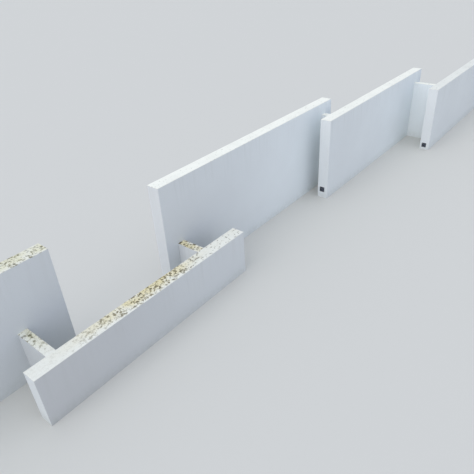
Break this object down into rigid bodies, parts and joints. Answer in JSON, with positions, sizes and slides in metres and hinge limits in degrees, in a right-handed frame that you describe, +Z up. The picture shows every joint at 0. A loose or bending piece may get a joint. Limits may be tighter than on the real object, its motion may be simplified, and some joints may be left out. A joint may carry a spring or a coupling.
{
  "type": "panelled aluminium garden fence",
  "caption": "White flat-panelled garden fence in staggered bays of different heights, with a low planting bed, short returns and square step lights.",
  "frame": {"origin": "centre of the underside of the first post's foot plate in the third bay from the left", "axes": "+X runs along the bays from left to right, +Y points to their back, +Z is up"},
  "size_m": [17.52, 1.58, 1.65],
  "materials": {
    "white_coat": "matt white powder coat on aluminium sheet",
    "frame_metal": "mill finish aluminium plate",
    "light_body": "dark grey powder coat on cast aluminium",
    "light_lens": "dark frosted glass"
  },
  "bodies": {
    "root": {"bay_1_back_panel": "white_coat", "bay_1_coping": "white_coat", "bay_1_frame": "frame_metal", "bay_1_front_panel": "white_coat", "bay_1_left_end": "white_coat", "bay_1_right_end": "white_coat", "bay_2_back_panel": "white_coat", "bay_2_coping": "white_coat", "bay_2_frame": "frame_metal", "bay_2_front_panel": "white_coat", "bay_2_left_end": "white_coat", "bay_2_right_end": "white_coat", "bay_3_back_panel": "white_coat", "bay_3_coping": "white_coat", "bay_3_frame": "frame_metal", "bay_3_front_panel": "white_coat", "bay_3_left_end": "white_coat", "bay_3_light_housing": "light_body", "bay_3_light_lens": "light_lens", "bay_3_right_end": "white_coat", "bay_4_back_panel": "white_coat", "bay_4_coping": "white_coat", "bay_4_frame": "frame_metal", "bay_4_front_panel": "white_coat", "bay_4_left_end": "white_coat", "bay_4_light_housing": "light_body", "bay_4_light_lens": "light_lens", "bay_4_right_end": "white_coat", "link_return_coping": "white_coat", "link_return_frame": "frame_metal", "link_return_panels": "white_coat", "planter_back_panel": "white_coat", "planter_coping": "white_coat", "planter_frame": "frame_metal", "planter_front_panel": "white_coat", "planter_left_end": "white_coat", "planter_left_return_coping": "white_coat", "planter_left_return_frame": "frame_metal", "planter_left_return_panels": "white_coat", "planter_right_end": "white_coat", "planter_right_return_coping": "white_coat", "planter_right_return_frame": "frame_metal", "planter_right_return_panels": "white_coat", "step_return_coping": "white_coat", "step_return_frame": "frame_metal", "step_return_panels": "white_coat"}
  },
  "joints": []
}
